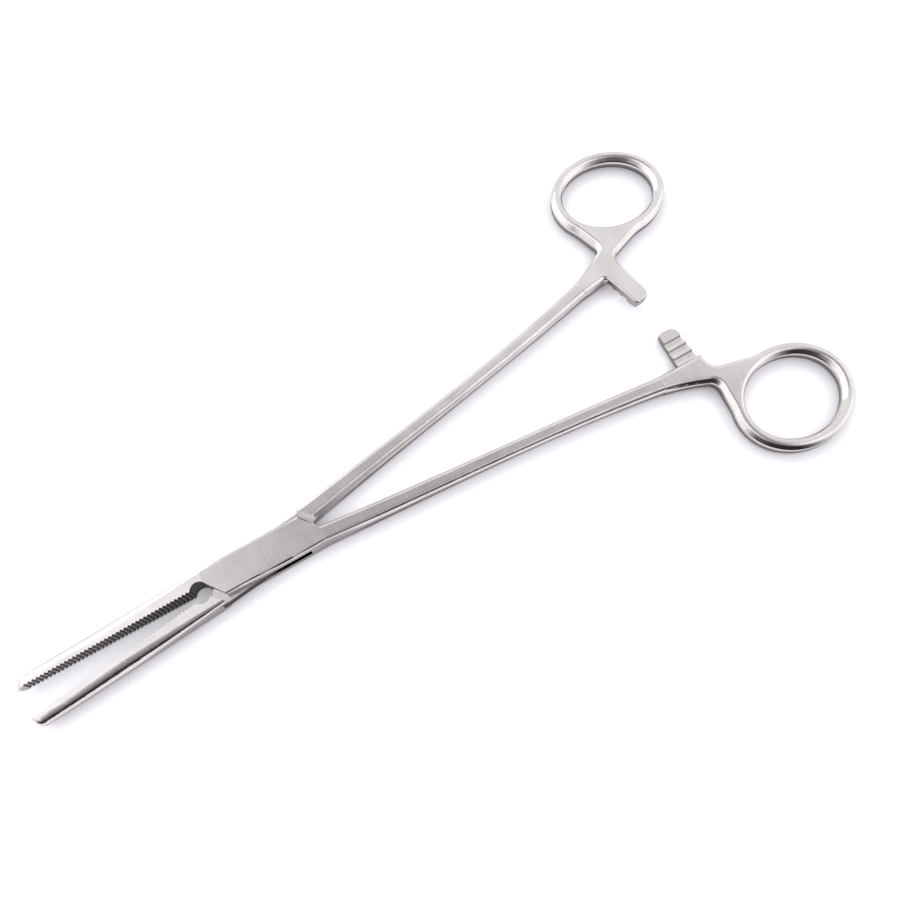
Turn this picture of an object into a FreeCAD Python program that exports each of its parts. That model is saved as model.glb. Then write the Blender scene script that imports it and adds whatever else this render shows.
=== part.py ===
import FreeCAD, Part
import math
import os

import Sketcher

# Hemostat forceps with a box lock, in millimetres.
# Origin: on the pivot axis, on the box's flat bottom face, which is the surface it lies on.
# +X runs towards the finger rings, midway between the two halves, and +Z is up.
# Both halves are drawn closed, with the ring at +Y, the jaw at -Y and the tab's teeth
# underneath. The box half is then turned over about X, and each half is turned about the
# pivot by half of the angle at which the forceps lie open.

SIZES = {
    # how far the forceps lie open, in degrees between the two halves
    "rest_angle": 7.0,
    # box lock
    "box_width": 8.2,
    "box_thickness": 6.0,
    "box_barrel": 0.14,
    "box_end": 13.4,
    "box_edge_round": 0.62,
    "end_slant": 36.0,
    "end_chamfer": 0.25,
    "crotch_gap": 0.35,
    "shoulder_gap": 1.15,
    "shoulder_lap": 0.4,
    "tongue_thickness": 2.1,
    "slot_clearance": 0.05,
    "slot_end": 9.8,
    "tongue_corner": 9.0,
    "tongue_heel": 1.35,
    "tongue_edge_break": 0.15,
    "tongue_root_reach": 1.0,
    "tongue_root_rise": 0.9,
    "tongue_neck_reach": 1.4,
    "tongue_neck_step": 0.5,
    "tongue_side_reach": 0.5,
    "pin_radius": 1.6,
    "pin_clearance": 0.04,
    # shank
    "neck_reach": 103.06,
    "neck_offset": 10.2,
    "neck_width": 4.0,
    "shank_bow": 0.7,
    "shank_waist": 0.6,
    "shank_thinning": 1.55,
    "shank_edge_round": 0.75,
    "neck_edge_round": 1.2,
    "neck_lap": 1.2,
    "neck_step": 0.05,
    "neck_slope": 0.1,
    # finger ring and neck
    "grip_thickness": 4.5,
    "ring_setback": 1.53,
    "ring_clearance": 4.16,
    "ring_length": 29.2,
    "ring_breadth": 23.8,
    "ring_lean": 7.0,
    "wire_width": 2.85,
    "ring_low_turn": 272.0,
    "ring_high_turn": 205.0,
    "ring_lap": 0.05,
    "waist_round": 2.4,
    "waist_step": 0.69,
    "waist_rise": 3.8,
    "waist_dish": 0.35,
    "flare_round": 14.0,
    # ratchet
    "tab_setback": 5.94,
    "tab_width": 5.85,
    "tab_lean": 1.05,
    "tab_lap": 1.5,
    "tab_overlap": 2.05,
    "tab_tip_round": 2.0,
    "tab_toe_round": 0.8,
    "tab_heel_round": 0.9,
    "tab_edge_round": 0.5,
    "tab_gap": 0.1,
    "tab_corner_rise": 2.3,
    "tab_corner_round": 3.2,
    "ratchet_pitch": 2.4,
    "ratchet_depth": 0.6,
    "ratchet_first": 0.75,
    "ratchet_land": 0.02,
    "ratchet_rake": 0.12,
    "ratchet_floor": 0.45,
    "ratchet_teeth": 3,
    # jaw
    "jaw_length": 56.6,
    "jaw_root_width": 3.95,
    "jaw_tip_width": 2.65,
    "jaw_bulge": 0.28,
    "jaw_tip_thickness": 3.6,
    "jaw_tip_gap": 0.02,
    "jaw_root_gap": 0.3,
    "jaw_edge_round": 0.75,
    "jaw_back_round": 2.4,
    "jaw_face_round": 0.08,
    "nose_length": 1.8,
    "relief_reach": 15.3,
    "relief_radius": 2.0,
    "relief_offset": 0.35,
    "serration_pitch": 0.9,
    "serration_depth": 0.36,
    "serration_land": 0.12,
    "serration_count": 43,
    "serration_skim": 0.04,
    "serration_end": 0.9,
    # how far a cutting tool reaches past what it cuts
    "cut_over": 1.5,
}

doc = FreeCAD.newDocument("forceps")
sheet = doc.addObject("Spreadsheet::Sheet", "Sizes")
for row, (alias, size) in enumerate(SIZES.items(), start=1):
    sheet.set(f"A{row}", alias)
    sheet.set(f"B{row}", str(size))
    sheet.setAlias(f"B{row}", alias)
doc.recompute()


def cell(text):
    """Names the sheet in an expression written with bare aliases."""
    words = sorted(SIZES, key=len, reverse=True)
    for number, word in enumerate(words):
        text = text.replace(word, f"@{number}@")
    for number, word in enumerate(words):
        text = text.replace(f"@{number}@", f"Sizes.{word}")
    return text


def value(text):
    """The number that an expression with bare aliases gives now."""
    result = sheet.evalExpression(cell(text))
    return float(getattr(result, "Value", result))


def bind(thing, path, text):
    thing.setExpression(path, cell(text))


# Derived sizes, as expressions of the sheet's aliases

MIDDLE = "(box_thickness / 2)"
SLANT = "tan(end_slant * 1 deg)"
SIDE = "(box_width / 2)"
BOX_ROOT = f"(box_end + crotch_gap * {SLANT})"
SHOULDER = "(box_end + shoulder_gap)"
SHOULDER_ROOT = f"({SHOULDER} - {SIDE} * {SLANT} - shoulder_lap)"
TONGUE_TOP = f"({MIDDLE} + tongue_thickness / 2)"
TONGUE_BOTTOM = f"({MIDDLE} - tongue_thickness / 2)"
GRIP_TOP = f"({MIDDLE} + grip_thickness / 2)"
GRIP_BOTTOM = f"({MIDDLE} - grip_thickness / 2)"
# The tab runs across the neck, from its near side at TAB_NEAR to its far side at TAB_FAR
TAB_NEAR = "(neck_reach + tab_setback)"
TAB_FAR = f"({TAB_NEAR} + tab_width)"
TAB_ROOT = "(neck_offset - neck_width / 2 - neck_step)"
TAB_CORNER = "(neck_offset + tab_corner_rise)"
TAB_FACE = f"({MIDDLE} + tab_gap / 2)"
RING_REACH = f"({TAB_FAR} - ring_setback + ring_length / 2)"
RING_OFFSET = f"({TAB_CORNER} + ring_clearance + ring_breadth / 2)"


# Shares of the way along the shank, the jaw and the nose at which their sections stand
SHANK_SHARES = (0, 0.08, 0.2, 0.35, 0.5, 0.65, 0.8, 0.92, 1)
JAW_SHARES = (0, 0.15, 0.3, 0.45, 0.6, 0.75, 0.88, 1)
NOSE_SHARES = (0, 0.4, 0.7, 0.9, 1)
# The bow is greatest nearer the rings: share ^ 2 * (1 - share), scaled to a height of 1
SKEW_SCALE = 27 / 4
NOSE_FULLNESS = 0.94
# The most of a section's thickness and width that a round corner takes
THICK_SHARE = 0.45
WIDE_SHARE = 0.8
# How near a corner or height has to be to count as the one meant
CORNER_REACH = 0.6
SAME = 0.001


def new_sketch(body, name, role, shift):
    """An empty sketch on one of the body's origin planes, moved along its normal."""
    sketch = body.newObject("Sketcher::SketchObject", name)
    plane = [f for f in body.Origin.OriginFeatures if f.Role == role][0]
    sketch.AttachmentSupport = [(plane, "")]
    sketch.MapMode = "FlatFace"
    bind(sketch, ".AttachmentOffset.Base.z", shift)
    return sketch


def pin_point(sketch, edge, end, across, up):
    """Ties one end of an edge to two expressions, measured from the sketch's origin."""
    for kind, text in (("DistanceX", across), ("DistanceY", up)):
        index = sketch.addConstraint(
            Sketcher.Constraint(kind, -1, 1, edge, end, value(text))
        )
        bind(sketch, f"Constraints[{index}]", text)


def outline(body, name, role, shift, corners, bulges=None):
    """A closed outline through corners. bulges gives an edge's rise, which makes it an arc."""
    bulges = bulges or {}
    sketch = new_sketch(body, name, role, shift)
    spots = [FreeCAD.Vector(value(a), value(b), 0) for a, b in corners]
    count = len(corners)
    arcs = {}
    for i, here in enumerate(spots):
        there = spots[(i + 1) % count]
        if i in bulges:
            along = there - here
            outward = FreeCAD.Vector(along.y, -along.x, 0).normalize()
            crown = (here + there) * 0.5 + outward * value(bulges[i])
            # an arc in a sketch runs counter-clockwise from its first point
            arcs[i] = 1 if value(bulges[i]) > 0 else 2
            ends = (here, there) if arcs[i] == 1 else (there, here)
            sketch.addGeometry(Part.Arc(ends[0], crown, ends[1]))
        else:
            sketch.addGeometry(Part.LineSegment(here, there))
    for i in range(count):
        start = arcs.get(i, 1)
        before = (i - 1) % count
        finish = 3 - arcs.get(before, 1)
        sketch.addConstraint(Sketcher.Constraint("Coincident", before, finish, i, start))
        pin_point(sketch, i, start, *corners[i])
    for i, rise in bulges.items():
        (a, b), (c, d) = corners[i], corners[(i + 1) % count]
        chord = f"((({c}) - ({a})) ^ 2 + (({d}) - ({b})) ^ 2)"
        radius = f"({chord} / 8 / abs({rise}) + abs({rise}) / 2)"
        index = sketch.addConstraint(Sketcher.Constraint("Radius", i, value(radius)))
        bind(sketch, f"Constraints[{index}]", radius)
    return sketch


def circle(body, name, shift, across, up, radius):
    sketch = new_sketch(body, name, "XY_Plane", shift)
    centre = FreeCAD.Vector(value(across), value(up), 0)
    axis = FreeCAD.Vector(0, 0, 1)
    sketch.addGeometry(Part.Circle(centre, axis, value(radius)))
    if (across, up) == ("0", "0"):
        sketch.addConstraint(Sketcher.Constraint("Coincident", 0, 3, -1, 1))
    else:
        pin_point(sketch, 0, 3, across, up)
    index = sketch.addConstraint(Sketcher.Constraint("Radius", 0, value(radius)))
    bind(sketch, f"Constraints[{index}]", radius)
    return sketch


def section(body, name, station, left, right, low, high, rounds):
    """A rectangle with four round corners, across the lever at a station along X.

    rounds are the corner radii: low left, low right, high right, high left.
    """
    sketch = new_sketch(body, name, "YZ_Plane", station)
    x0, x1, z0, z1 = (value(text) for text in (left, right, low, high))
    radii = [value(text) for text in rounds]
    quarter = math.pi / 2
    corners = [(x0, z0, 2), (x1, z0, 3), (x1, z1, 0), (x0, z1, 1)]
    inward = [(1, 1), (-1, 1), (-1, -1), (1, -1)]
    normal = FreeCAD.Vector(0, 0, 1)
    arcs = []
    for (x, z, turns), (sx, sz), radius in zip(corners, inward, radii):
        centre = FreeCAD.Vector(x + sx * radius, z + sz * radius, 0)
        whole = Part.Circle(centre, normal, radius)
        first = turns * quarter
        arcs.append(Part.ArcOfCircle(whole, first, first + quarter))
    for i in range(4):
        sketch.addGeometry(arcs[i])
        sketch.addGeometry(Part.LineSegment(arcs[i].EndPoint, arcs[(i + 1) % 4].StartPoint))
    for i in range(8):
        sketch.addConstraint(Sketcher.Constraint("Tangent", i, 2, (i + 1) % 8, 1))
    for line, kind in ((1, "Horizontal"), (3, "Vertical"), (5, "Horizontal"), (7, "Vertical")):
        sketch.addConstraint(Sketcher.Constraint(kind, line))
    for line, kind, text in (
        (7, "DistanceX", left),
        (3, "DistanceX", right),
        (1, "DistanceY", low),
        (5, "DistanceY", high),
    ):
        index = sketch.addConstraint(
            Sketcher.Constraint(kind, -1, 1, line, 1, value(text))
        )
        bind(sketch, f"Constraints[{index}]", text)
    for i, text in enumerate(rounds):
        index = sketch.addConstraint(Sketcher.Constraint("Radius", 2 * i, value(text)))
        bind(sketch, f"Constraints[{index}]", text)
    return sketch


def pad(body, name, sketch, length):
    feature = body.newObject("PartDesign::Pad", name)
    feature.Profile = sketch
    bind(feature, "Length", length)
    return feature


def pocket(body, name, sketch, depth):
    """Cuts downwards from the sketch."""
    feature = body.newObject("PartDesign::Pocket", name)
    feature.Profile = sketch
    bind(feature, "Length", depth)
    return feature


def loft(body, name, sketches):
    feature = body.newObject("PartDesign::AdditiveLoft", name)
    feature.Profile = sketches[0]
    feature.Sections = sketches[1:]
    return feature


def dress(body, kind, name, size, text, chosen):
    """A fillet or chamfer on the edges that chosen picks from the body's present tip."""
    doc.recompute()
    base = body.Tip
    names = [
        f"Edge{i}" for i, edge in enumerate(base.Shape.Edges, start=1) if chosen(edge)
    ]
    feature = body.newObject(f"PartDesign::{kind}", name)
    feature.Base = (base, names)
    bind(feature, size, text)
    doc.recompute()
    return feature


def upright(edge):
    """Whether an edge is a straight one along Z."""
    ends = [v.Point for v in edge.Vertexes]
    if len(ends) != 2:
        return False
    along = ends[1] - ends[0]
    return abs(along.z) > (1 - SAME) * along.Length


def level(edge, heights):
    """Whether an edge is flat at one of the heights."""
    box = edge.BoundBox
    nearest = min(abs(box.ZMin - value(height)) for height in heights)
    return box.ZLength < SAME and nearest < SAME


# The finger ring is a leaning oval, and oval(turn, size) gives a point on it

LEAN = "(ring_lean * 1 deg)"


def oval(turn, grow):
    """Expressions of the point at a turn in degrees, on the ring's outline grown by a width."""
    along = f"((ring_length / 2 + {grow}) * cos({turn} * 1 deg))"
    across = f"((ring_breadth / 2 + {grow}) * sin({turn} * 1 deg))"
    x = f"({RING_REACH} + {along} * cos({LEAN}) + {across} * sin({LEAN}))"
    y = f"({RING_OFFSET} - {along} * sin({LEAN}) + {across} * cos({LEAN}))"
    return x, y


def oval_sketch(body, name, shift, grow):
    """A leaning ellipse about the ring's centre, grown by a width from the wire's middle."""
    sketch = new_sketch(body, name, "XY_Plane", shift)
    centre = FreeCAD.Vector(value(RING_REACH), value(RING_OFFSET), 0)
    tip = FreeCAD.Vector(*(value(text) for text in oval("0", grow)), 0)
    flank = FreeCAD.Vector(*(value(text) for text in oval("90", grow)), 0)
    sketch.addGeometry(Part.Ellipse(tip, flank, centre))
    sketch.exposeInternalGeometry(0)
    pin_point(sketch, 0, 3, RING_REACH, RING_OFFSET)
    for axis, size in ((1, "ring_length"), (2, "ring_breadth")):
        text = f"({size} + 2 * ({grow}))"
        index = sketch.addConstraint(Sketcher.Constraint("Distance", axis, value(text)))
        bind(sketch, f"Constraints[{index}]", text)
    line = sketch.Geometry[1]
    heading = math.degrees(math.atan2(*reversed((line.EndPoint - line.StartPoint)[:2])))
    turned = 180 if abs(heading) > 90 else 0
    text = f"({turned} - ring_lean)"
    index = sketch.addConstraint(
        Sketcher.Constraint("Angle", 1, math.radians(value(text)))
    )
    bind(sketch, f"Constraints[{index}]", text)
    return sketch


FLARE_FOOT = oval("ring_low_turn", "wire_width / 2 - ring_lap")
NECK_START = "(neck_reach - neck_lap)"


def foot_at(across, up):
    """Picks the upright edge that stands at a place in plan."""
    x, y = value(across), value(up)

    def chosen(edge):
        foot = edge.Vertexes[0]
        return upright(edge) and math.hypot(foot.X - x, foot.Y - y) < CORNER_REACH

    return chosen


def plan_grip(body):
    """Pads the neck, the ring's disc and the tab, which is in the top half of the thickness."""
    rise = "(neck_lap * neck_slope)"
    low = f"(neck_offset - neck_width / 2 - neck_step - {rise})"
    high = f"(neck_offset + neck_width / 2 + neck_step - {rise})"
    neck = [
        (NECK_START, low),
        (f"({TAB_NEAR} - tab_lap)", TAB_ROOT),
        (TAB_FAR, TAB_ROOT),
        (TAB_FAR, TAB_CORNER),
        FLARE_FOOT,
        (RING_REACH, RING_OFFSET),
        oval("ring_high_turn", "wire_width / 2 - ring_lap"),
        (f"({TAB_FAR} - waist_step)", f"({TAB_CORNER} + waist_rise)"),
        (NECK_START, high),
    ]
    plate = outline(body, "neck_outline", "XY_Plane", GRIP_BOTTOM, neck, {7: "(-waist_dish)"})
    pad(body, "neck", plate, "grip_thickness")
    disc = oval_sketch(body, "ring_outline", GRIP_BOTTOM, "wire_width / 2")
    pad(body, "ring", disc, "grip_thickness")

    tip = "(-tab_overlap)"
    inside = f"({TAB_ROOT} + tab_lap)"
    tab = [
        (TAB_NEAR, TAB_ROOT),
        (f"({TAB_NEAR} + tab_lean)", tip),
        (TAB_FAR, tip),
        (TAB_FAR, inside),
        (TAB_NEAR, inside),
    ]
    sketch = outline(body, "tab_outline", "XY_Plane", TAB_FACE, tab)
    pad(body, "tab", sketch, f"({GRIP_TOP} - {TAB_FACE})")
    return (
        ("tab_heel", "tab_heel_round", tab[0]),
        ("tab_toe", "tab_toe_round", tab[1]),
        ("tab_tip", "tab_tip_round", tab[2]),
        ("tab_blend", "tab_corner_round", neck[3]),
        ("waist_blend", "waist_round", neck[7]),
        ("lower_flare", "flare_round", neck[4]),
        ("upper_flare", "flare_round", neck[6]),
    )


def make_grip():
    """The neck, ring and tab in one, with round rims. Each half is built on it."""
    body = doc.addObject("PartDesign::Body", "grip_blank")
    for name, radius, (across, up) in plan_grip(body):
        dress(body, "Fillet", name, "Radius", radius, foot_at(across, up))
    hole = oval_sketch(body, "ring_hole", GRIP_TOP, "-wire_width / 2")
    pocket(body, "finger_hole", hole, "grip_thickness")
    doc.recompute()

    def radius_at(point):
        """The rim's radius, which is small round the tab and grows along its far edge."""
        on_tab = point.x > value(TAB_NEAR) and point.y < value(TAB_ROOT) - SAME
        return value("tab_edge_round" if on_tab else "neck_edge_round")

    rims = []
    for number, edge in enumerate(body.Shape.Edges, start=1):
        clear = edge.BoundBox.XMax > value(NECK_START) + SAME
        if level(edge, (GRIP_BOTTOM, GRIP_TOP)) and clear:
            ends = edge.valueAt(edge.FirstParameter), edge.valueAt(edge.LastParameter)
            rims.append((number, radius_at(ends[0]), radius_at(ends[1])))
    grip = doc.addObject("Part::Fillet", "grip")
    grip.Base = body
    grip.Edges = rims
    return grip


def shank(body, root):
    """The long shank from the box to the neck: flat and sharp first, then round."""
    span = f"(neck_reach - {root})"
    stations = []
    for number, share in enumerate(SHANK_SHARES):
        hump = 4 * share * (1 - share)
        skew = SKEW_SCALE * share ** 2 * (1 - share)
        middle_root = f"((crotch_gap + {SIDE}) / 2)"
        middle = f"({middle_root} + (neck_offset - {middle_root}) * {share} - shank_bow * {skew})"
        root_width = f"({SIDE} - crotch_gap)"
        width = f"({root_width} + (neck_width - {root_width}) * {share} - shank_waist * {hump})"
        end_thickness = "(grip_thickness - 2 * neck_step)"
        thickness = (
            f"(box_thickness + ({end_thickness} - box_thickness) * {share}"
            f" - shank_thinning * {hump})"
        )
        edge = f"(shank_edge_round + (neck_edge_round - shank_edge_round) * {share})"
        stations.append(
            section(
                body,
                f"shank_section_{number}",
                f"({root} + {span} * {share})",
                f"({middle} - {width} / 2)",
                f"({middle} + {width} / 2)",
                f"({MIDDLE} - {thickness} / 2)",
                f"({MIDDLE} + {thickness} / 2)",
                [edge] * 4,
            )
        )
    loft(body, "shank", stations)


def jaw(body, root):
    """The tapering jaw, flat inside, its back growing round, with a blunt nose."""
    reach = f"(jaw_length - nose_length - {root})"
    body_stations = []
    nose_stations = []

    def cut_across(name, station, share, shrink):
        hump = 4 * share * (1 - share)
        gap = f"(jaw_root_gap + (jaw_tip_gap - jaw_root_gap) * {share})"
        back = f"(jaw_root_width + (jaw_tip_width - jaw_root_width) * {share} + jaw_bulge * {hump})"
        wide = f"(({back} - {gap}) * {shrink})"
        thick = f"((box_thickness + (jaw_tip_thickness - box_thickness) * {share}) * {shrink})"
        caps = f"{THICK_SHARE} * {thick}; {WIDE_SHARE} * {wide}"
        round_back = f"min(jaw_edge_round + jaw_back_round * {share}; {caps})"
        round_face = f"(jaw_face_round * {shrink})"
        return section(
            body,
            name,
            station,
            f"(-{gap} - {wide})",
            f"(-{gap})",
            f"({MIDDLE} - {thick} / 2)",
            f"({MIDDLE} + {thick} / 2)",
            [round_back, round_face, round_face, round_back],
        )

    for number, share in enumerate(JAW_SHARES):
        station = f"(-{root} - {reach} * {share})"
        body_stations.append(cut_across(f"jaw_section_{number}", station, share, 1))
    for number, share in enumerate(NOSE_SHARES):
        station = f"(nose_length * (1 - {share}) - jaw_length)"
        shrink = round(math.sqrt(1 - NOSE_FULLNESS * share ** 2), 3)
        nose_stations.append(cut_across(f"nose_section_{number}", station, 1, shrink))
    loft(body, "jaw", body_stations)
    loft(body, "nose", nose_stations)


def box_outline(body):
    """The box in plan: slanted ends, gently barrelled sides."""
    end_corner = f"(box_end - {SIDE} * {SLANT})"
    corners = [
        (f"(-{BOX_ROOT})", "(-jaw_root_width)"),
        (end_corner, f"(-{SIDE})"),
        (BOX_ROOT, "crotch_gap"),
        (BOX_ROOT, SIDE),
        (f"(-{end_corner})", SIDE),
        (f"(-{BOX_ROOT})", "(-crotch_gap)"),
    ]
    bulges = {0: "box_barrel", 3: "box_barrel"}
    return outline(body, "box_outline", "XY_Plane", "0", corners, bulges)


def round_box(body):
    """Rounds the box's long sides a little and breaks the edges of its slanted ends."""
    faces = ("0", "box_thickness")

    def side(edge):
        return level(edge, faces) and edge.BoundBox.XLength > value("box_end")

    def end(edge):
        box = edge.BoundBox
        return level(edge, faces) and box.YLength > value(SIDE) and box.XLength > SAME

    dress(body, "Chamfer", "end_break", "Size", "end_chamfer", end)
    dress(body, "Fillet", "side_round", "Radius", "box_edge_round", side)


def slot_outline(body, top):
    """The slot in plan. Each closed end runs from the box's side to its slanted end."""
    steep = f"({SIDE} / (box_end - slot_end))"
    far = f"({SIDE} + cut_over)"
    wall_out = (f"(slot_end - cut_over / {steep})", far)
    wall_in = (f"(box_end + cut_over / {steep})", "(-cut_over)")
    corners = [wall_out]
    corners.append((f"(-{wall_in[0]})", far))
    corners.append((f"(-{wall_in[0]})", "cut_over"))
    corners.append((f"(-{wall_out[0]})", f"(-{far})"))
    corners.append((wall_in[0], f"(-{far})"))
    corners.append(wall_in)
    return outline(body, "slot_outline", "XY_Plane", top, corners)


def tongue_outline(body):
    """The tongue in plan, with its roots inside the jaw and the shank."""
    heel = f"({SHOULDER} - tongue_heel)"
    half = [
        (f"({SHOULDER} + tongue_root_reach)", "tongue_root_rise"),
        (f"({SHOULDER_ROOT} + tongue_neck_reach)", f"({SIDE} - tongue_neck_step)"),
        (f"({SHOULDER_ROOT} + tongue_side_reach)", SIDE),
        ("(-tongue_corner)", SIDE),
        (f"(-{heel})", "0"),
    ]
    corners = half + [(f"(-({x}))", f"(-({y}))") for x, y in half]
    return outline(body, "tongue_outline", "XY_Plane", TONGUE_BOTTOM, corners)


def break_tongue(body):
    """Breaks the tongue's long edges, which slide in the slot."""

    def side(edge):
        return level(edge, (TONGUE_TOP, TONGUE_BOTTOM)) and edge.BoundBox.XLength > value("box_end")

    dress(body, "Chamfer", "tongue_break", "Size", "tongue_edge_break", side)


def shoulders_outline(body, name, top):
    """Between the two slanted shoulders, past the sides."""
    far = f"({SIDE} + 2 * cut_over)"
    lean = f"({far} * {SLANT})"
    corners = [
        (f"({SHOULDER} - {lean})", far),
        (f"(-{SHOULDER} - {lean})", far),
        (f"(-{SHOULDER} + {lean})", f"(-{far})"),
        (f"({SHOULDER} + {lean})", f"(-{far})"),
    ]
    return outline(body, name, "XY_Plane", top, corners)


def relief(body):
    """The rounded hollow at the root of the jaw."""
    hollow = circle(
        body, "relief_outline", "box_thickness", "(-relief_reach)", "relief_offset", "relief_radius"
    )
    pocket(body, "relief", hollow, "box_thickness")


def ratchet(body):
    """Saw teeth across the tab's lower face."""
    floor = f"({TAB_FACE} + ratchet_depth)"
    outside = f"({TAB_FACE} - cut_over)"
    crest = f"({TAB_FACE} + ratchet_land)"
    corners = [("ratchet_first", outside)]
    teeth = int(value("ratchet_teeth"))
    for number in range(teeth):
        low = f"(ratchet_first + ratchet_pitch * {number})"
        corners.append((low, crest))
        corners.append((f"({low} + ratchet_pitch * ratchet_rake)", floor))
        corners.append((f"({low} + ratchet_pitch * ratchet_floor)", floor))
    last = f"(ratchet_first + ratchet_pitch * {teeth})"
    corners.append((last, crest))
    corners.append((last, outside))
    sketch = outline(body, "ratchet_outline", "YZ_Plane", f"({TAB_NEAR} - cut_over)", corners)
    feature = body.newObject("PartDesign::Pocket", "ratchet")
    feature.Profile = sketch
    feature.Reversed = True
    bind(feature, "Length", "(tab_width + 2 * cut_over)")
    return feature


def comb(name, shift):
    """Cuts the jaw's inner face flat and leaves the transverse serrations in it."""
    pitch, depth = value("serration_pitch"), value("serration_depth")
    land = value("serration_land")
    count = int(value("serration_count"))
    over = value("cut_over")
    tip_x = value("serration_end") - value("jaw_length")
    root_x = -value("relief_reach")
    tip_y = -value("jaw_tip_gap") - value("serration_skim")
    root_y = -value("jaw_root_gap") - value("serration_skim")

    def face(x):
        return tip_y + (root_y - tip_y) * (x - tip_x) / (root_x - tip_x)

    points = [(tip_x, over), (tip_x, face(tip_x))]
    for number in range(count):
        left = tip_x + land + (number + shift) * pitch
        middle = left + (pitch - land) / 2
        right = left + pitch - land
        points.append((left, face(left)))
        points.append((middle, face(middle) - depth))
        points.append((right, face(right)))
    points.append((root_x, root_y))
    points.append((root_x, over))
    vectors = [FreeCAD.Vector(x, y, -over) for x, y in points]
    plate = Part.Face(Part.makePolygon(vectors + vectors[:1]))
    cutter = doc.addObject("Part::Feature", name)
    cutter.Shape = plate.extrude(FreeCAD.Vector(0, 0, value("box_thickness") + 2 * over))
    return cutter


def bore(body, radius):
    hole = circle(body, "bore_outline", "box_thickness", "0", "0", radius)
    pocket(body, "bore", hole, "box_thickness")


def make_box_half(grip):
    body = doc.addObject("PartDesign::Body", "box_forging")
    body.BaseFeature = grip
    shank(body, BOX_ROOT)
    pad(body, "box", box_outline(body), "box_thickness")
    round_box(body)
    jaw(body, BOX_ROOT)
    slot = slot_outline(body, f"({TONGUE_TOP} + slot_clearance)")
    pocket(body, "slot", slot, "(tongue_thickness + 2 * slot_clearance)")
    relief(body)
    bore(body, "pin_radius")
    ratchet(body)
    return body


def make_tongue_half(grip):
    body = doc.addObject("PartDesign::Body", "tongue_forging")
    body.BaseFeature = grip
    shank(body, SHOULDER_ROOT)
    pad(body, "tongue", tongue_outline(body), "tongue_thickness")
    break_tongue(body)
    jaw(body, SHOULDER_ROOT)
    above = shoulders_outline(body, "upper_shoulders", "(box_thickness + cut_over)")
    pocket(body, "upper_cut", above, f"(box_thickness + cut_over - {TONGUE_TOP})")
    below = shoulders_outline(body, "lower_shoulders", TONGUE_BOTTOM)
    pocket(body, "lower_cut", below, f"({TONGUE_BOTTOM} + cut_over)")
    relief(body)
    bore(body, "(pin_radius + pin_clearance)")
    ratchet(body)
    return body


def serrate(name, forging, shift):
    cut = doc.addObject("Part::Cut", name)
    cut.Base = forging
    cut.Tool = comb(f"{name}_comb", shift)
    return cut


def check_states():
    bad = [o.Name for o in doc.Objects if "Invalid" in o.State or "Error" in o.State]
    if bad:
        raise RuntimeError(f"these objects failed: {bad}")


grip = make_grip()
doc.recompute()
box_forging = make_box_half(grip)
tongue_forging = make_tongue_half(grip)
doc.recompute()

tongue_half = serrate("tongue_half", tongue_forging, 0)
box_half = serrate("box_half", box_forging, 0.5)
lock_pin = doc.addObject("Part::Cylinder", "lock_pin")
bind(lock_pin, "Radius", "pin_radius")
bind(lock_pin, "Height", "box_thickness")
bind(tongue_half, ".Placement.Rotation.Angle", "rest_angle / 2")
# Turning over about an axis that lies a quarter of the angle off X also turns by half of it
box_half.Placement.Rotation = FreeCAD.Rotation(FreeCAD.Vector(1, 0, 0), 180)
bind(box_half, ".Placement.Rotation.Axis.x", "cos(rest_angle * 1 deg / 4)")
bind(box_half, ".Placement.Rotation.Axis.y", "-sin(rest_angle * 1 deg / 4)")
bind(box_half, ".Placement.Base.z", "box_thickness")
doc.recompute()
check_states()

os.makedirs("parts", exist_ok=True)
for piece in (box_half, tongue_half, lock_pin):
    piece.Label = piece.Name
    shape = piece.Shape
    if shape.isNull() or not shape.isValid():
        raise RuntimeError(f"{piece.Name} has no valid shape")
    print(piece.Label, len(shape.Solids), round(shape.Volume, 2), shape.BoundBox)
for piece in (box_half, tongue_half, lock_pin):
    piece.Shape.exportStep(f"parts/{piece.Label}.step")
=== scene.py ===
import math

import bpy
from mathutils import Matrix, Vector

# Hemostat forceps lying a little open on a white table, in metres.

MM = 0.001

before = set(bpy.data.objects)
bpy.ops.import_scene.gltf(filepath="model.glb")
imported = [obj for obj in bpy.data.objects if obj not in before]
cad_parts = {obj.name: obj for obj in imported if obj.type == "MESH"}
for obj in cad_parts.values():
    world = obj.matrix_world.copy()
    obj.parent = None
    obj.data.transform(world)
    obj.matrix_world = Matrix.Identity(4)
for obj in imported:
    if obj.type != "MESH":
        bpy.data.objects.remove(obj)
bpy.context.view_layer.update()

# The camera: where it stands, what it looks at and which way is up in the picture
CAMERA_PLACE = Vector((6.61, -61.75, 182.02)) * MM
CAMERA_AIM = Vector((48.97, -1.48, 3.0)) * MM
CAMERA_UP = Vector((0.5601, 0.8284, 0.0))
CAMERA_REACH = 100.0
SENSOR = 36.0
FRAME_PIXELS = 900
FOCAL_PIXELS = 820.4

# The steel: its colours, and how rough it is on the flats and where it is rounded
STEEL = (0.86, 0.835, 0.825, 1.0)
STEEL_DARKER = (0.74, 0.715, 0.71, 1.0)
# Near black: the painted shade in the jaws' teeth, the hollow, the tabs' walls and the slot
PAINTED_CREVICE_SHADE = (0.03, 0.027, 0.026, 1.0)
FLAT_ROUGHNESS = 0.26
ROUND_ROUGHNESS = 0.18
ROUGHNESS_RANGE = 0.12

# The brush marks: how often they repeat in a metre along x, y and z, and how deep they are
LENGTHWISE_BRUSH = (160.0, 5200.0, 5200.0)
CROSSWISE_BRUSH = (4200.0, 260.0, 260.0)
CROSSWISE_TURN = 0.5
CLOUD_SCALE = 140.0
CLOUD_SHARE = 0.65
SHADE_LIMITS = (0.3, 0.7)
BRUSH_DEPTH = 0.004 * MM
BRUSH_STRENGTH = 0.12
TONGUE_BRUSH_TURN = 0.06
PIN_BRUSH_TURN = 1.1

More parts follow.
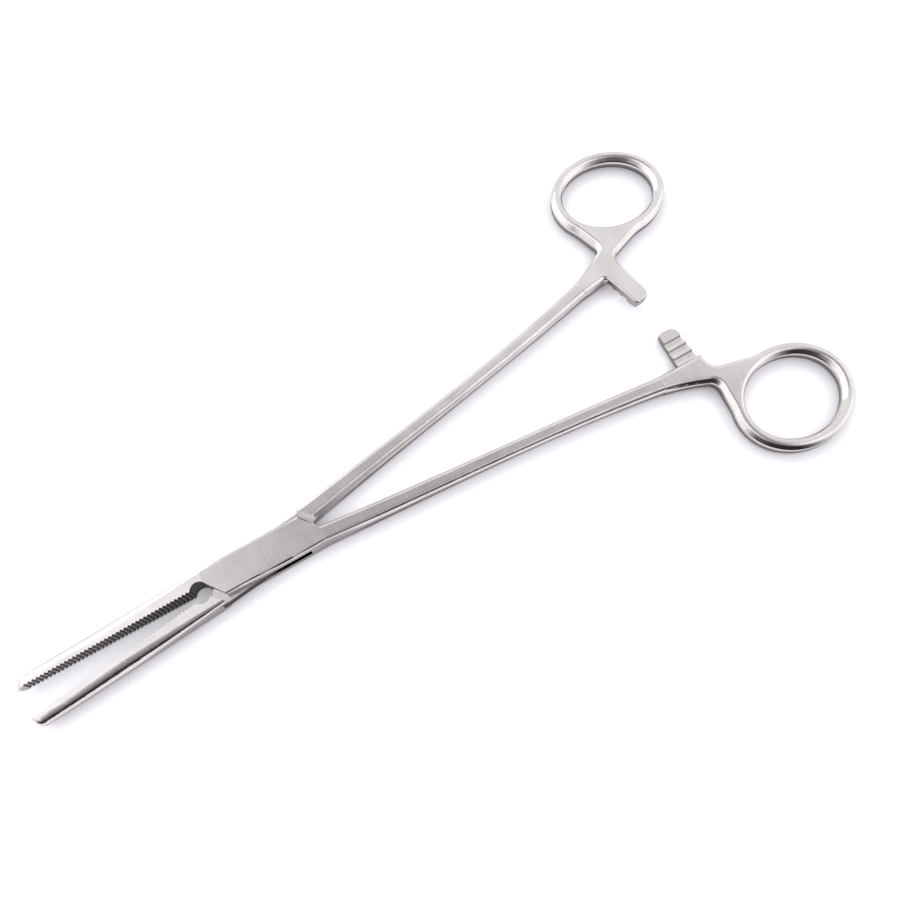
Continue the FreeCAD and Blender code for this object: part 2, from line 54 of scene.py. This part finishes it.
# How far the normal's upright share goes from one to none, for an upright face and a flat one
UPRIGHT_FACE = (0.8, 0.5)
FLAT_FACE = (0.94, 0.995)

# The softened edges, and how strongly the normal leans on the shanks and rings to round them.
# On a face that looks up the lean is less, and turns over where LEAN_TURN times that share is 1.
EDGE_BREAK = 0.1 * MM
EDGE_SAMPLES = 6
LEAN_TURN = 1.4
RING_LEAN = 2.0
SHANK_LEAN = 0.8
SHANK_START = (16.0 * MM, 30.0 * MM)
RING_START = (100.0 * MM, 108.0 * MM)

# Which way each half is turned from where it is drawn closed, and by how much
BOX_SIDE = -1
TONGUE_SIDE = 1
HALF_ANGLE = math.radians(3.5)

# Sizes of the CAD that the painted shade follows: the jaws, the slot and the ratchet tabs
JAW_ROOT = -15.3 * MM
JAW_TIP = -55.7 * MM
ROOT_GAP = 0.34 * MM
TIP_GAP = 0.06 * MM
TOOTH_DEPTH = 0.36 * MM
HOLLOW_REACH = 2.4 * MM
SLOT_LOW = 1.85 * MM
SLOT_HIGH = 4.15 * MM
BOX_REACH = 13.0 * MM
MIDDLE = 3.0 * MM
HALF_WIRE = 2.25 * MM
TAB_ROOT = 8.2 * MM
TAB_NEAR = 106.0 * MM
HAIR = 0.06 * MM

# How much painted shade darkens the teeth at their tops and in their grooves, and the hollow and
# the tabs' walls
TOOTH_TOP_PAINTED_SHADE = 0.3
GROOVE_PAINTED_SHADE = 0.9
HOLLOW_PAINTED_SHADE = 0.55
TAB_WALL_PAINTED_SHADE = 0.5

# The table, and how much it glows to the camera and in reflections, where 1 is white
TABLE_HALF = 2.0
TABLE_COLOUR = (0.53, 0.53, 0.57, 1.0)
TABLE_ROUGHNESS = 0.9
TABLE_SPECULAR = 0.1
TABLE_GLOW = 0.85
TABLE_GLOW_IN_METAL = 0.6
TABLE_FADE_IN_METAL = 2.5
TABLE_WHITE = (0.98, 0.97, 1.0, 1.0)
TABLE_IN_METAL = (1.0, 0.91, 0.88, 1.0)
TABLE_SHADOW_REACH = 4.5 * MM
TABLE_SHADOW_SAMPLES = 8

# The tent of light: its colours, the side on which it is dark and the one to the right of that
TENT_WHITE = (1.2, 1.2, 1.21, 1.0)
TENT_BACK = (0.93, 0.93, 0.94, 1.0)
TENT_GREY = (0.36, 0.322, 0.325, 1.0)
TENT_GREY_LEFT = (0.50, 0.455, 0.465, 1.0)
TENT_DARK = (0.02, 0.018, 0.018, 1.0)
TENT_RIM = (0.16, 0.14, 0.12, 1.0)
BACKDROP_WHITE = (1.0, 1.0, 1.0, 1.0)
DARK_SIDE = Vector((-0.52, -0.85, 0.0))
RIGHT_SIDE = Vector((0.85, -0.52, 0.0))

# Where the tent changes colour: on the dark side's axis, on the right side's axis, and in height
BACK_WALL = (-0.49, -0.56)
GREY_BACK_EDGE = (-0.52, -0.40)
GREY_LEFT_EDGE = (-0.345, -0.20)
GREY_MIDDLE = (-0.22, -0.08)
GREY_RIGHT_EDGE = (0.60, 0.22)
DARK_FACING = (0.25, 0.85)
DARK_HEIGHT = (0.96, 0.42)
RIM_HEIGHT = (0.13, 0.04)
RIM_LEAST = 0.4
ABOVE_ONE = 1.0001

# The soft light behind the table
KEY_PLACE = Vector((-0.35, 1.0, 0.55))
KEY_SIZE = 0.8
KEY_POWER = 3.0


def place_camera():
    """The camera looks from its place at its aim, turned so that its up vector is upright."""
    forward = (CAMERA_AIM - CAMERA_PLACE).normalized()
    right = forward.cross(CAMERA_UP).normalized()
    upward = right.cross(forward)
    data = bpy.data.cameras.new("camera")
    data.sensor_width = SENSOR
    data.lens = SENSOR * FOCAL_PIXELS / FRAME_PIXELS
    data.clip_start = MM
    data.clip_end = CAMERA_REACH
    camera = bpy.data.objects.new("camera", data)
    turn = Matrix((right, upward, -forward)).transposed().to_4x4()
    camera.matrix_world = Matrix.Translation(CAMERA_PLACE) @ turn
    bpy.context.scene.collection.objects.link(camera)
    bpy.context.scene.camera = camera


class Nodes:
    """Short calls for building one node tree."""

    def __init__(self, tree):
        self.tree = tree
        tree.nodes.clear()

    def add(self, kind, **values):
        node = self.tree.nodes.new(kind)
        for name, value in values.items():
            setattr(node, name, value)
        return node

    def join(self, output, target):
        self.tree.links.new(output, target)

    def put(self, target, source):
        """Sets a socket to a number or colour, or links it to another socket."""
        if isinstance(source, bpy.types.NodeSocket):
            self.join(source, target)
        else:
            target.default_value = source

    def math(self, operation, first, second=0.0, third=0.0):
        node = self.add("ShaderNodeMath", operation=operation)
        for socket, source in zip(node.inputs, (first, second, third)):
            self.put(socket, source)
        return node.outputs[0]

    def product(self, first, *others):
        """All the values multiplied together."""
        total = first
        for other in others:
            total = self.math("MULTIPLY", total, other)
        return total

    def ramp(self, source, low, high, out_low=0.0, out_high=1.0):
        """A smooth step of source from low to high."""
        node = self.add("ShaderNodeMapRange", interpolation_type="SMOOTHSTEP")
        for name, value in (
            ("Value", source),
            ("From Min", low),
            ("From Max", high),
            ("To Min", out_low),
            ("To Max", out_high),
        ):
            self.put(node.inputs[name], value)
        return node.outputs[0]

    def noise(self, vector, scale, detail, roughness=0.5):
        node = self.add("ShaderNodeTexNoise")
        self.put(node.inputs["Vector"], vector)
        node.inputs["Scale"].default_value = scale
        node.inputs["Detail"].default_value = detail
        node.inputs["Roughness"].default_value = roughness
        return node.outputs["Fac"]

    def stretch(self, vector, factors, turn):
        """The vector turned about z, then stretched by a factor along each axis."""
        node = self.add("ShaderNodeMapping")
        self.put(node.inputs["Vector"], vector)
        node.inputs["Rotation"].default_value = (0.0, 0.0, turn)
        node.inputs["Scale"].default_value = factors
        return node.outputs["Vector"]

    def parts(self, vector):
        """The x, y and z of a vector."""
        node = self.add("ShaderNodeSeparateXYZ")
        self.put(node.inputs[0], vector)
        return node.outputs

    def vector_math(self, operation, *sources):
        node = self.add("ShaderNodeVectorMath", operation=operation)
        for socket, source in zip(node.inputs, sources):
            self.put(socket, source)
        return node.outputs

    def mix(self, factor, first, second):
        node = self.add("ShaderNodeMix", data_type="RGBA")
        colours = [socket for socket in node.inputs if socket.type == "RGBA"]
        self.put(node.inputs[0], factor)
        self.put(colours[0], first)
        self.put(colours[1], second)
        return [socket for socket in node.outputs if socket.type == "RGBA"][0]


def closed_place(nodes, place, side):
    """The place as it is with the jaws closed, in x, y and z."""
    return nodes.parts(nodes.stretch(place, (1.0, 1.0, 1.0), -side * HALF_ANGLE))


def painted_shade_places(nodes, place, upright, side):
    """How much painted shade darkens the steel on the teeth, in the hollow and on the tabs' walls,
    and in the slot.
    """
    x, y, z = closed_place(nodes, place, side)
    off_axis = nodes.math("ABSOLUTE", y)

    from_root = nodes.math("SUBTRACT", x, JAW_ROOT)
    share = nodes.math("DIVIDE", from_root, JAW_TIP - JAW_ROOT)
    gap = nodes.math("MULTIPLY_ADD", share, TIP_GAP - ROOT_GAP, ROOT_GAP)
    depth = nodes.math("SUBTRACT", off_axis, gap)
    on_face = nodes.ramp(depth, TOOTH_DEPTH + 2 * HAIR, TOOTH_DEPTH + HAIR)
    groove = nodes.ramp(depth, -HAIR / 2, TOOTH_DEPTH / 2, TOOTH_TOP_PAINTED_SHADE, GROOVE_PAINTED_SHADE)
    on_jaw = nodes.math("LESS_THAN", x, JAW_ROOT)
    teeth = nodes.product(on_face, groove, on_jaw, upright)

    squares = nodes.math("MULTIPLY_ADD", from_root, from_root, nodes.math("MULTIPLY", y, y))
    in_hollow = nodes.math("LESS_THAN", squares, HOLLOW_REACH ** 2)
    hollow = nodes.product(in_hollow, upright, HOLLOW_PAINTED_SHADE)

    past_near = nodes.math("GREATER_THAN", x, TAB_NEAR)
    on_tab = nodes.product(nodes.ramp(off_axis, TAB_ROOT, TAB_ROOT - MM), upright, past_near)
    walls = nodes.math("MAXIMUM", hollow, nodes.product(on_tab, TAB_WALL_PAINTED_SHADE))

    in_box = nodes.math("LESS_THAN", nodes.math("ABSOLUTE", x), BOX_REACH)
    in_slot = nodes.math("COMPARE", z, (SLOT_LOW + SLOT_HIGH) / 2, (SLOT_HIGH - SLOT_LOW) / 2)
    return teeth, walls, nodes.product(in_box, in_slot)


def rounded_normal(nodes, place, side):
    """The normal with softened edges, which leans up or down round the shanks and rings."""
    softened = nodes.add("ShaderNodeBevel", samples=EDGE_SAMPLES)
    softened.inputs["Radius"].default_value = EDGE_BREAK
    normal = softened.outputs["Normal"]
    up = nodes.math("ABSOLUTE", nodes.parts(normal)[2])
    sideways = nodes.math("SUBTRACT", 1.0, nodes.math("MULTIPLY", up, up))
    sideways = nodes.product(sideways, nodes.math("MULTIPLY_ADD", up, -LEAN_TURN, 1.0))

    x, y, z = closed_place(nodes, place, side)
    height = nodes.math("DIVIDE", nodes.math("SUBTRACT", z, MIDDLE), HALF_WIRE)
    off_tab = nodes.ramp(nodes.math("ABSOLUTE", y), TAB_ROOT, TAB_ROOT + MM)
    on_ring = nodes.product(nodes.ramp(x, *RING_START), off_tab)
    on_shank = nodes.product(nodes.ramp(x, *SHANK_START), nodes.ramp(x, *reversed(RING_START)))
    lean = nodes.math("MULTIPLY_ADD", on_shank, SHANK_LEAN, nodes.product(on_ring, RING_LEAN))

    upward = nodes.add("ShaderNodeCombineXYZ")
    nodes.put(upward.inputs[2], nodes.product(height, sideways, lean))
    leaned = nodes.vector_math("ADD", normal, upward.outputs[0])[0]
    return nodes.vector_math("NORMALIZE", leaned)[0]


def brush_marks(nodes, place, turn):
    """The brush marks along and across a piece, each from 0 to 1."""
    along = nodes.stretch(place, LENGTHWISE_BRUSH, turn)
    across = nodes.stretch(place, CROSSWISE_BRUSH, turn + CROSSWISE_TURN)
    lengthwise = nodes.noise(along, 1.0, detail=4.0, roughness=0.65)
    crosswise = nodes.noise(across, 1.0, detail=3.0, roughness=0.6)
    return lengthwise, crosswise


def steel(name, side, brush_turn=0.0):
    """Satin stainless steel: brushed flats, smoother where it is rounded, with painted shade in the
    teeth, the hollow, the tabs' walls and the slot.
    """
    material = bpy.data.materials.new(name)
    material.use_nodes = True
    nodes = Nodes(material.node_tree)
    place = nodes.add("ShaderNodeTexCoord").outputs["Object"]
    normal = nodes.add("ShaderNodeNewGeometry").outputs["Normal"]
    up = nodes.math("ABSOLUTE", nodes.parts(normal)[2])
    upright = nodes.ramp(up, *UPRIGHT_FACE)

    lengthwise, crosswise = brush_marks(nodes, place, brush_turn)
    cloud = nodes.noise(place, CLOUD_SCALE, detail=3.0)
    cloudy = nodes.product(cloud, CLOUD_SHARE)
    shade = nodes.math("MULTIPLY_ADD", crosswise, 1.0 - CLOUD_SHARE, cloudy)
    colour = nodes.mix(nodes.ramp(shade, *SHADE_LIMITS), STEEL_DARKER, STEEL)

    # Painted shade on the teeth, in the hollow, on the tabs' walls and in the slot, where the
    # tongue shows its side and the box its cheeks' flat insides
    teeth, walls, slot = painted_shade_places(nodes, place, upright, side)
    faces = upright if side == TONGUE_SIDE else nodes.math("SUBTRACT", 1.0, upright)
    dark = nodes.math("MAXIMUM", nodes.math("MAXIMUM", teeth, walls), nodes.product(slot, faces))
    colour = nodes.mix(dark, colour, PAINTED_CREVICE_SHADE)

    grain = nodes.math("MULTIPLY_ADD", crosswise, 0.5, nodes.product(lengthwise, 0.5))
    flat = nodes.ramp(up, *FLAT_FACE)
    base = nodes.ramp(flat, 0.0, 1.0, ROUND_ROUGHNESS, FLAT_ROUGHNESS)
    wander = nodes.math("MULTIPLY_ADD", grain, ROUGHNESS_RANGE, -ROUGHNESS_RANGE / 2)

    bump = nodes.add("ShaderNodeBump")
    bump.inputs["Distance"].default_value = BRUSH_DEPTH
    bump.inputs["Strength"].default_value = BRUSH_STRENGTH
    nodes.put(bump.inputs["Height"], grain)
    nodes.put(bump.inputs["Normal"], rounded_normal(nodes, place, side))

    shader = nodes.add("ShaderNodeBsdfPrincipled")
    shader.inputs["Metallic"].default_value = 1.0
    nodes.put(shader.inputs["Base Color"], colour)
    nodes.put(shader.inputs["Roughness"], nodes.math("ADD", base, wander))
    nodes.put(shader.inputs["Normal"], bump.outputs["Normal"])
    output = nodes.add("ShaderNodeOutputMaterial")
    nodes.join(shader.outputs["BSDF"], output.inputs["Surface"])
    return material


def dress(node, material):
    """Gives a node of the frame its material."""
    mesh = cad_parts[node].data
    mesh.materials.clear()
    mesh.materials.append(material)


def make_floor():
    """A square table round the origin, at the height of the part's flat bottom."""
    mesh = bpy.data.meshes.new("floor")
    half = TABLE_HALF
    corners = [(-half, -half, 0), (half, -half, 0), (half, half, 0), (-half, half, 0)]
    mesh.from_pydata(corners, [], [(0, 1, 2, 3)])
    floor = bpy.data.objects.new("floor", mesh)
    bpy.context.scene.collection.objects.link(floor)
    mesh.materials.append(white_table())


def white_table():
    """A matt table, whose own glow makes it white to the camera and pale in the metal."""
    material = bpy.data.materials.new("white_table")
    material.use_nodes = True
    nodes = Nodes(material.node_tree)
    shader = nodes.add("ShaderNodeBsdfPrincipled")
    shader.inputs["Base Color"].default_value = TABLE_COLOUR
    shader.inputs["Roughness"].default_value = TABLE_ROUGHNESS
    shader.inputs["Specular IOR Level"].default_value = TABLE_SPECULAR
    rays = nodes.add("ShaderNodeLightPath").outputs
    seen = nodes.math("ADD", rays["Is Camera Ray"], rays["Is Transmission Ray"])
    seen = nodes.product(seen, TABLE_GLOW)
    glow = nodes.math("MULTIPLY_ADD", rays["Is Glossy Ray"], TABLE_GLOW_IN_METAL, seen)
    # Ambient occlusion dims the glow near the forceps: a painted contact shadow on the table,
    # deeper where the table is seen in the metal
    near = nodes.add("ShaderNodeAmbientOcclusion", samples=TABLE_SHADOW_SAMPLES)
    near.inputs["Distance"].default_value = TABLE_SHADOW_REACH
    fade = nodes.math("MULTIPLY_ADD", rays["Is Glossy Ray"], TABLE_FADE_IN_METAL, 1.0)
    shadow = nodes.math("POWER", near.outputs["AO"], fade)
    nodes.put(shader.inputs["Emission Strength"], nodes.product(glow, shadow))
    tint = nodes.mix(rays["Is Glossy Ray"], TABLE_WHITE, TABLE_IN_METAL)
    nodes.put(shader.inputs["Emission Color"], tint)
    output = nodes.add("ShaderNodeOutputMaterial")
    nodes.join(shader.outputs["BSDF"], output.inputs["Surface"])
    return material


def light_tent():
    """A tent round the table: white, with a grey patch overhead and a dark side.

    The camera sees it white all round.
    """
    world = bpy.data.worlds.new("tent")
    bpy.context.scene.world = world
    world.use_nodes = True
    nodes = Nodes(world.node_tree)
    way = nodes.add("ShaderNodeTexCoord").outputs["Generated"]
    z = nodes.parts(way)[2]

    def towards(side):
        """How far a direction points to one side of the tent."""
        return nodes.vector_math("DOT_PRODUCT", way, side.normalized())["Value"]

    ahead, right = towards(DARK_SIDE), towards(RIGHT_SIDE)
    white = nodes.mix(nodes.ramp(ahead, *BACK_WALL), TENT_WHITE, TENT_BACK)
    shade = nodes.mix(nodes.ramp(right, *GREY_MIDDLE), TENT_GREY_LEFT, TENT_GREY)
    grey = nodes.product(
        nodes.ramp(right, *GREY_LEFT_EDGE),
        nodes.ramp(right, *GREY_RIGHT_EDGE),
        nodes.ramp(ahead, *GREY_BACK_EDGE),
    )
    tent = nodes.mix(grey, white, shade)

    level = nodes.math("SQRT", nodes.math("SUBTRACT", ABOVE_ONE, nodes.math("MULTIPLY", z, z)))
    facing = nodes.ramp(nodes.math("DIVIDE", ahead, level), *DARK_FACING)
    dark = nodes.product(facing, nodes.ramp(z, *DARK_HEIGHT))
    tent = nodes.mix(dark, tent, TENT_DARK)
    rim = nodes.product(nodes.ramp(z, *RIM_HEIGHT), nodes.ramp(facing, 0.0, 1.0, RIM_LEAST, 1.0))
    tent = nodes.mix(rim, tent, TENT_RIM)

    seen = nodes.add("ShaderNodeLightPath").outputs["Is Camera Ray"]
    background = nodes.add("ShaderNodeBackground")
    nodes.put(background.inputs["Color"], nodes.mix(seen, tent, BACKDROP_WHITE))
    output = nodes.add("ShaderNodeOutputWorld")
    nodes.join(background.outputs[0], output.inputs["Surface"])


def key_light():
    """A square soft light that faces the point the camera looks at."""
    data = bpy.data.lights.new("key", "AREA")
    data.size = KEY_SIZE
    data.energy = KEY_POWER
    light = bpy.data.objects.new("key", data)
    light.location = KEY_PLACE
    light.rotation_euler = (KEY_PLACE - CAMERA_AIM).to_track_quat("Z", "Y").to_euler()
    bpy.context.scene.collection.objects.link(light)


place_camera()
make_floor()
light_tent()
key_light()
bpy.context.scene.view_settings.view_transform = "Standard"

dress("box_half", steel("box_steel", BOX_SIDE))
dress("tongue_half", steel("tongue_steel", TONGUE_SIDE, TONGUE_BRUSH_TURN))
dress("lock_pin", steel("pin_steel", TONGUE_SIDE, PIN_BRUSH_TURN))
